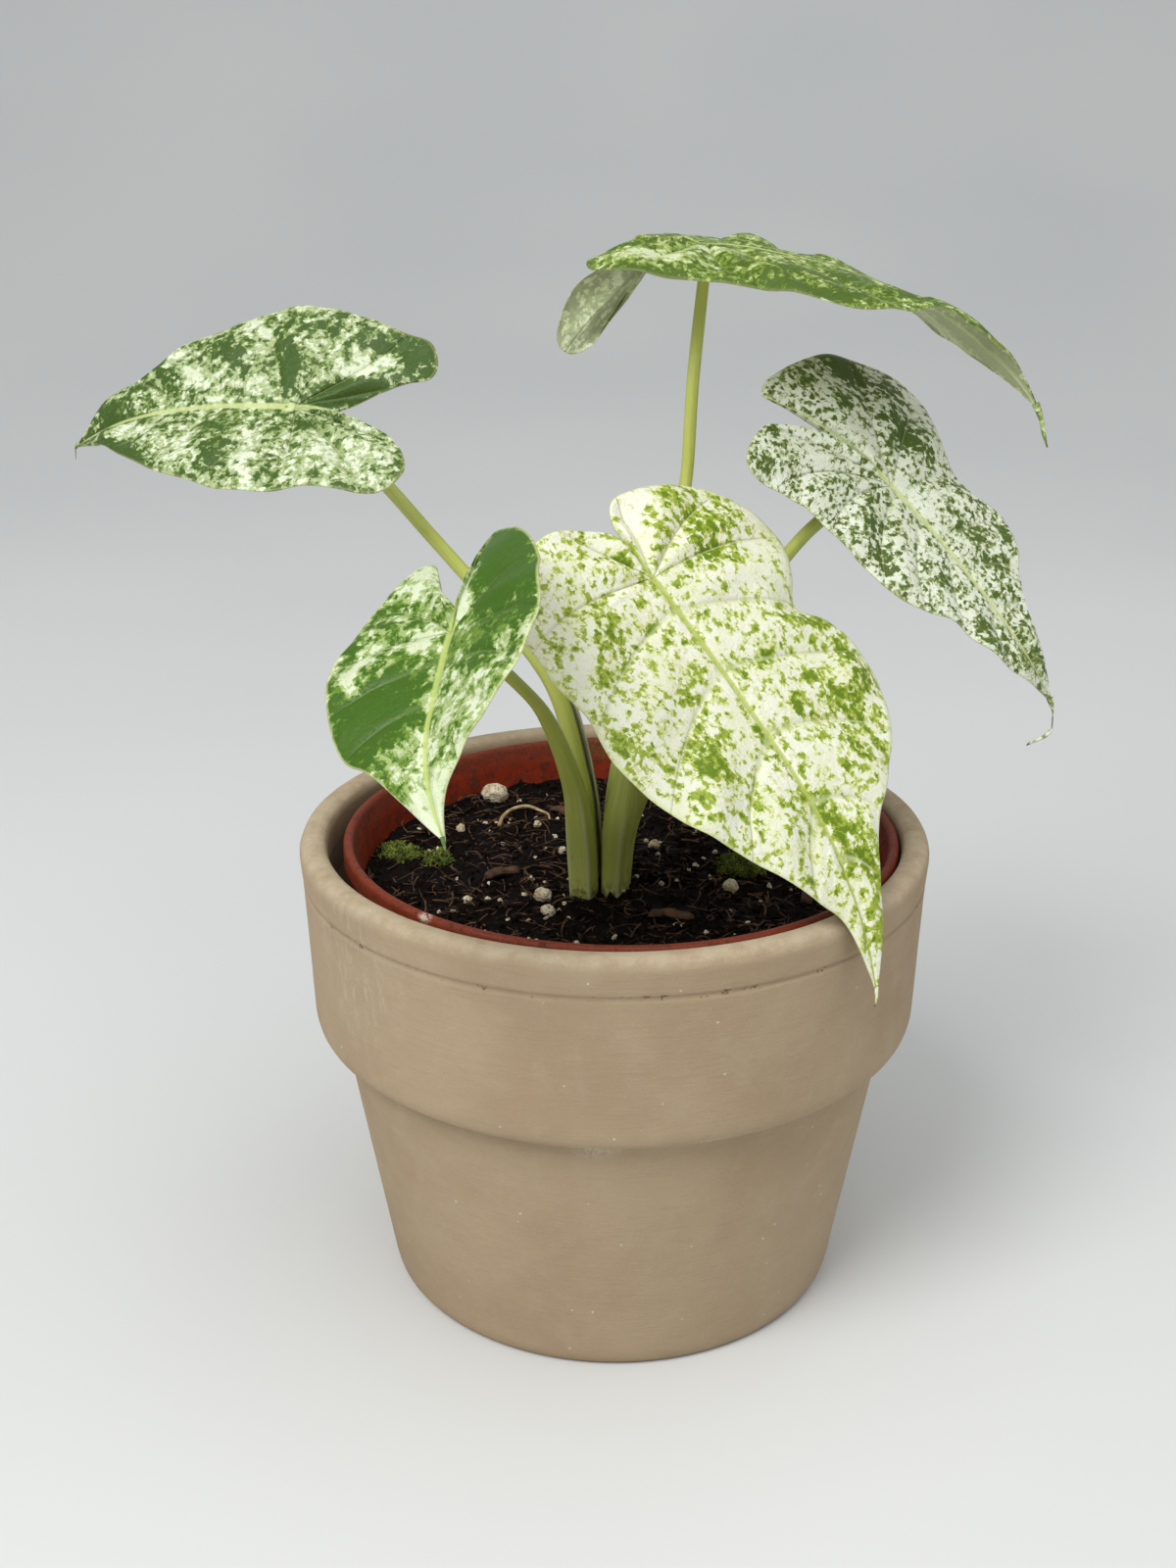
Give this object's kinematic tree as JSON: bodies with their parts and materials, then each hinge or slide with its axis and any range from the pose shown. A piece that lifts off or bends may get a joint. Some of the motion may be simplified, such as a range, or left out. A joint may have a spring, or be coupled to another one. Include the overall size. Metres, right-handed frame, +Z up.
{
  "type": "potted alocasia",
  "caption": "Small variegated alocasia with heart-shaped leaves on slender stalks, in a red nursery pot inside a banded clay cover pot.",
  "frame": {"origin": "middle of the cover pot's flat base, on the surface it stands on", "axes": "+Z up along the pots' axis, -Y towards the side the picture was taken from, +X to the right in the picture"},
  "size_m": [0.2188, 0.1756, 0.231],
  "materials": {
    "clay": "matte",
    "red_plastic": "satin",
    "potting_mix": "matte",
    "corm_skin": "matte",
    "petiole_green": "satin",
    "variegated_leaf": "satin",
    "dry_sheath": "matte",
    "perlite": "matte",
    "moss": "matte",
    "bark": "matte",
    "rootlet": "matte"
  },
  "bodies": {
    "root": {"cover_pot": "clay", "nursery_pot": "red_plastic", "soil": "potting_mix", "corm": "corm_skin", "petiole_far_left": "petiole_green", "petiole_top": "petiole_green", "petiole_right": "petiole_green", "petiole_front": "petiole_green", "petiole_low_left": "petiole_green", "blade_far_left": "variegated_leaf", "blade_top": "variegated_leaf", "blade_right": "variegated_leaf", "blade_front": "variegated_leaf", "blade_low_left": "variegated_leaf", "dry_sheath": "dry_sheath", "perlite_grain_1": "perlite", "perlite_grain_2": "perlite", "perlite_grain_3": "perlite", "perlite_grain_4": "perlite", "perlite_grain_5": "perlite", "perlite_grain_6": "perlite", "perlite_grain_7": "perlite", "perlite_grain_8": "perlite", "perlite_grain_9": "perlite", "perlite_grain_10": "perlite", "moss_tuft_1": "moss", "moss_tuft_2": "moss", "moss_tuft_3": "moss", "bark_chip_1": "bark", "bark_chip_2": "bark", "bark_chip_3": "bark", "bark_chip_4": "bark", "bark_chip_5": "bark", "rootlet": "rootlet"}
  },
  "joints": []
}
